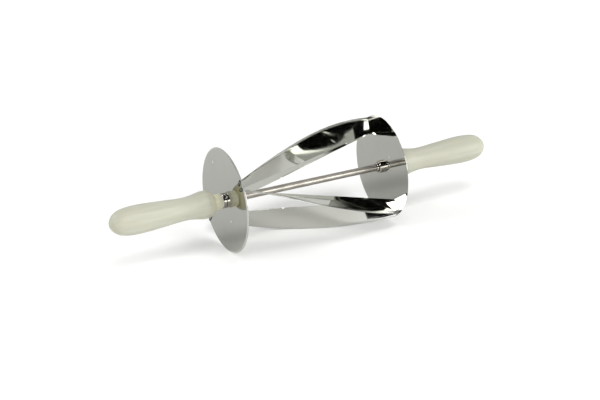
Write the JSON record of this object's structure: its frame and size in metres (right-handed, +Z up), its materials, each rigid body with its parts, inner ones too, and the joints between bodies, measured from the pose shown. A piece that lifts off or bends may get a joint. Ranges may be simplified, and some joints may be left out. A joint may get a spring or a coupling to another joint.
{
  "type": "rolling pastry cutter",
  "caption": "Two sharp discs joined by twisted blades, turning as a cage on a steel axle with a plastic handle at each end; it cuts rolled dough into triangles.",
  "frame": {"origin": "middle of the axle, halfway between the discs", "axes": "+Y along the axle towards the right handle, the spin axis of the cage; +Z up; +X towards the front"},
  "size_m": [0.12, 0.4764, 0.12],
  "materials": {
    "polished_steel": "mirror-polished stainless steel sheet, fine polishing lines, ground cutting edges",
    "turned_steel": "bright drawn and turned stainless steel, light turning lines",
    "handle_plastic": "moulded natural polyethylene, slightly translucent, soft satin gloss",
    "washer_plastic": "plain white acetal",
    "insert_brass": "turned brass"
  },
  "bodies": {
    "axle_assembly": {"axle_rod": "turned_steel", "left_retaining_ring": "turned_steel", "left_thrust_washer": "washer_plastic", "left_handle_insert": "insert_brass", "left_handle": "handle_plastic", "right_retaining_ring": "turned_steel", "right_thrust_washer": "washer_plastic", "right_handle_insert": "insert_brass", "right_handle": "handle_plastic"},
    "cutting_cage": {"upper_near_blade": "polished_steel", "lower_near_blade": "polished_steel", "lower_far_blade": "polished_steel", "upper_far_blade": "polished_steel", "left_disc": "polished_steel", "left_hub_bush": "turned_steel", "left_ring_nut": "turned_steel", "right_disc": "polished_steel", "right_hub_bush": "turned_steel", "right_ring_nut": "turned_steel"}
  },
  "joints": [
    {"name": "cage_spin", "type": "hinge", "parent": "axle_assembly", "child": "cutting_cage", "pos_m": [0, 0, 0], "axis": [0, 1, 0], "continuous": true}
  ]
}
